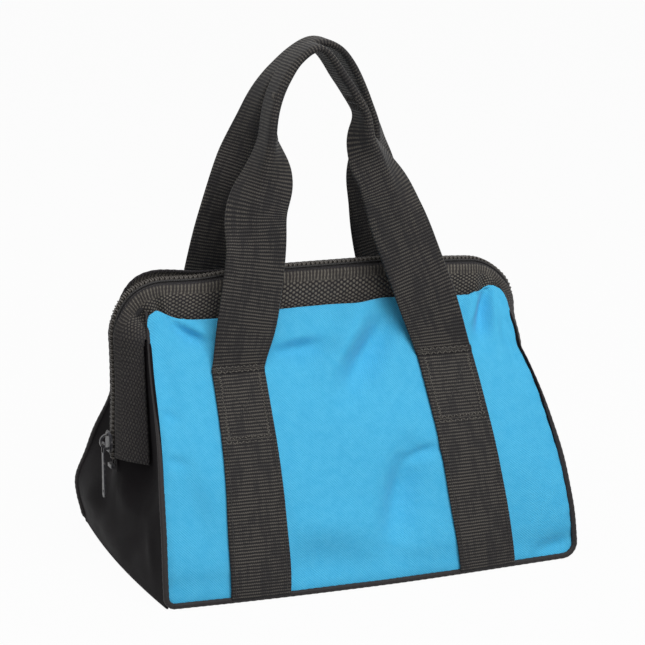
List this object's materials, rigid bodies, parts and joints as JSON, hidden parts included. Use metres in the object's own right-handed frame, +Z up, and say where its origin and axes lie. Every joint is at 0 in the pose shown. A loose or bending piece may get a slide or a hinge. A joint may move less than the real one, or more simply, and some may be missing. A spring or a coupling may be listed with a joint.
{
  "type": "zippered tool bag",
  "caption": "Soft open-work tool bag with a flat base, a zip that runs over the top and down the ends, and two folded webbing handles.",
  "frame": {"origin": "centre of the base's underside, on the surface the bag stands on", "axes": "+X along the bag, away from the slider; +Y from the front panel to the back panel; +Z up"},
  "size_m": [0.3656, 0.2352, 0.4109],
  "materials": {
    "blue_fabric": "woven polyester",
    "black_fabric": "smooth woven polyester",
    "webbing": "ribbed webbing",
    "knit_band": "ribbed knit band",
    "piping": "covered cord",
    "zip_teeth": "moulded teeth",
    "zip_metal": "dark enamel",
    "board": "stiffening board"
  },
  "bodies": {
    "bag": {"front_panel": "blue_fabric", "back_panel": "blue_fabric", "front_piping": "piping", "back_piping": "piping", "front_band": "knit_band", "back_band": "knit_band", "front_zip_tape": "black_fabric", "back_zip_tape": "black_fabric", "front_zip_teeth": "zip_teeth", "back_zip_teeth": "zip_teeth", "front_strap_left": "webbing", "back_strap_left": "webbing", "front_strap_right": "webbing", "back_strap_right": "webbing", "base_panel": "black_fabric", "base_board": "board", "left_gusset": "black_fabric", "right_gusset": "black_fabric", "left_zip_stop": "zip_metal", "right_zip_stop": "zip_metal"},
    "slider": {"zip_slider": "zip_metal"},
    "pull": {"zip_pull": "zip_metal"},
    "front_grip": {"front_handle": "webbing"},
    "back_grip": {"back_handle": "webbing"}
  },
  "joints": [
    {"name": "zip_slide", "type": "slide", "parent": "bag", "child": "slider", "axis": [0, 0, 1], "range_m": [-0.008, 0.072]},
    {"name": "pull_swing", "type": "hinge", "parent": "slider", "child": "pull", "pos_m": [-0.1837, 0, 0.101], "axis": [0, 1, 0], "range_deg": [0, 170]},
    {"name": "front_handle_fold", "type": "hinge", "parent": "bag", "child": "front_grip", "pos_m": [0, -0.04897, 0.16439], "axis": [1, 0, 0], "range_deg": [0, 125]},
    {"name": "back_handle_fold", "type": "hinge", "parent": "bag", "child": "back_grip", "pos_m": [0, 0.04897, 0.16439], "axis": [-1, 0, 0], "range_deg": [0, 125]}
  ]
}
